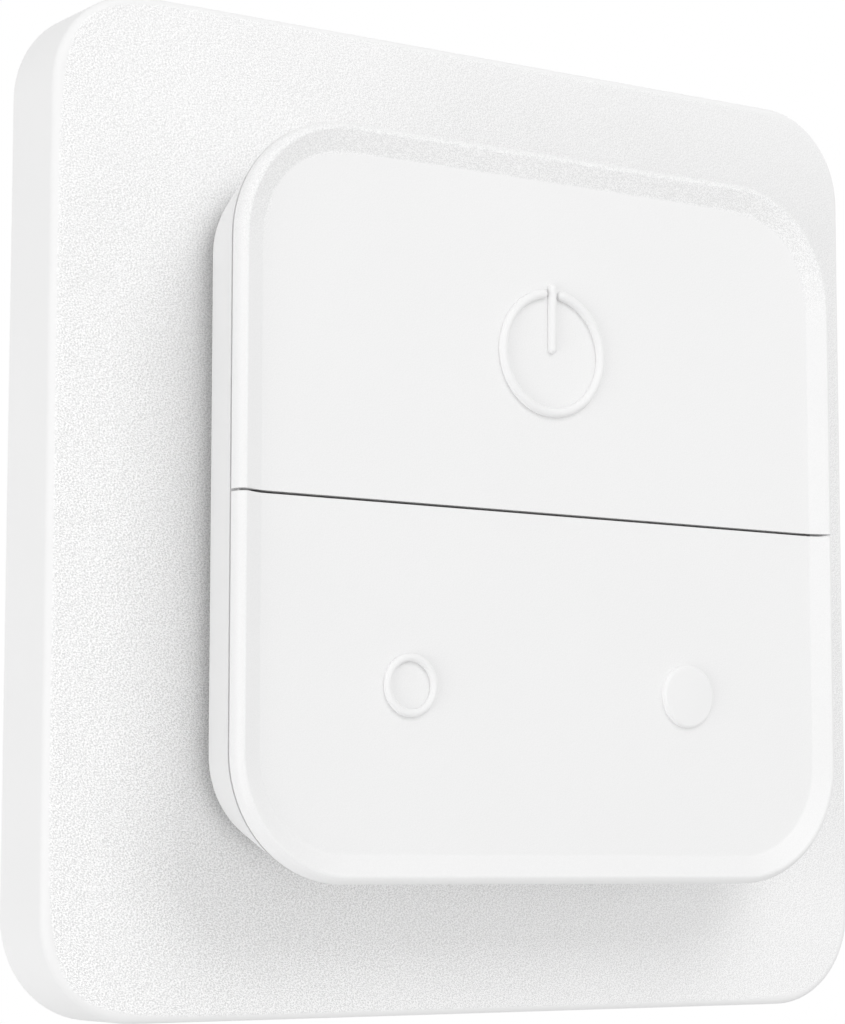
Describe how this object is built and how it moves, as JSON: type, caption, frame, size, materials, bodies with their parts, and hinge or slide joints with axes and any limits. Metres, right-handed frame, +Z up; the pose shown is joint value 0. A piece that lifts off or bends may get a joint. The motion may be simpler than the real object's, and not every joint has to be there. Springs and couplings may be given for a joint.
{
  "type": "wireless remote wall switch",
  "caption": "Square battery remote with a power cap and a dimming rocker, held by magnets in a square wall plate.",
  "frame": {"origin": "middle of the wall plate's back, on the wall", "axes": "+Z up, -Y from the wall into the room, +X to the right as seen from the room"},
  "size_m": [0.08, 0.0177, 0.08],
  "materials": {
    "plate_plastic": "fine spark-eroded grain, matt",
    "shell_plastic": "smooth matt",
    "cap_plastic": "very fine grain, matt",
    "inner_plastic": "smooth matt",
    "board": "solder mask",
    "chip_resin": "moulded resin",
    "capacitor_resin": "moulded resin",
    "silicone": "matt silicone",
    "foam": "foam with adhesive",
    "steel": "rolled, plated",
    "spring_steel": "nickel plated",
    "magnet_plating": "bright nickel"
  },
  "bodies": {
    "wall_mount": {"wall_plate": "plate_plastic", "mounting_base": "inner_plastic", "keeper_plate": "steel", "adhesive_pad_upper": "foam", "adhesive_pad_lower": "foam"},
    "remote": {"rear_housing": "shell_plastic", "dock_magnets": "magnet_plating", "coin_cell": "steel", "battery_contact_plus": "spring_steel", "battery_contact_minus": "spring_steel", "circuit_board": "board", "radio_shield": "spring_steel", "main_chip": "chip_resin", "crystal": "spring_steel", "capacitor": "capacitor_resin", "power_dome": "spring_steel", "dim_dome": "spring_steel", "bright_dome": "spring_steel", "key_mat": "silicone", "front_carrier": "inner_plastic", "carrier_screws": "steel", "power_hinge_pins": "steel", "dimmer_hinge_pins": "steel"},
    "battery_door": {"battery_door": "shell_plastic"},
    "power_button": {"power_button": "cap_plastic"},
    "dimmer_button": {"dimmer_button": "cap_plastic"}
  },
  "joints": [
    {"name": "remote_pull_off", "type": "slide", "parent": "wall_mount", "child": "remote", "axis": [0, -1, 0], "range_m": [0, 0.02]},
    {"name": "power_press", "type": "hinge", "parent": "remote", "child": "power_button", "pos_m": [0, -0.0139, 0.02386], "axis": [1, 0, 0], "range_deg": [0, 0.43], "stiffness_Nm_per_rad": 6, "deforming": ["key_mat", "power_dome"]},
    {"name": "dimmer_rock", "type": "hinge", "parent": "remote", "child": "dimmer_button", "pos_m": [0, -0.0139, 0], "axis": [0, 0, 1], "range_deg": [-0.35, 0.35], "stiffness_Nm_per_rad": 6, "deforming": ["dim_dome", "bright_dome"]},
    {"name": "battery_door_turn", "type": "hinge", "parent": "remote", "child": "battery_door", "pos_m": [0, -0.0043, 0], "axis": [0, 1, 0], "range_deg": [0, 40]}
  ]
}
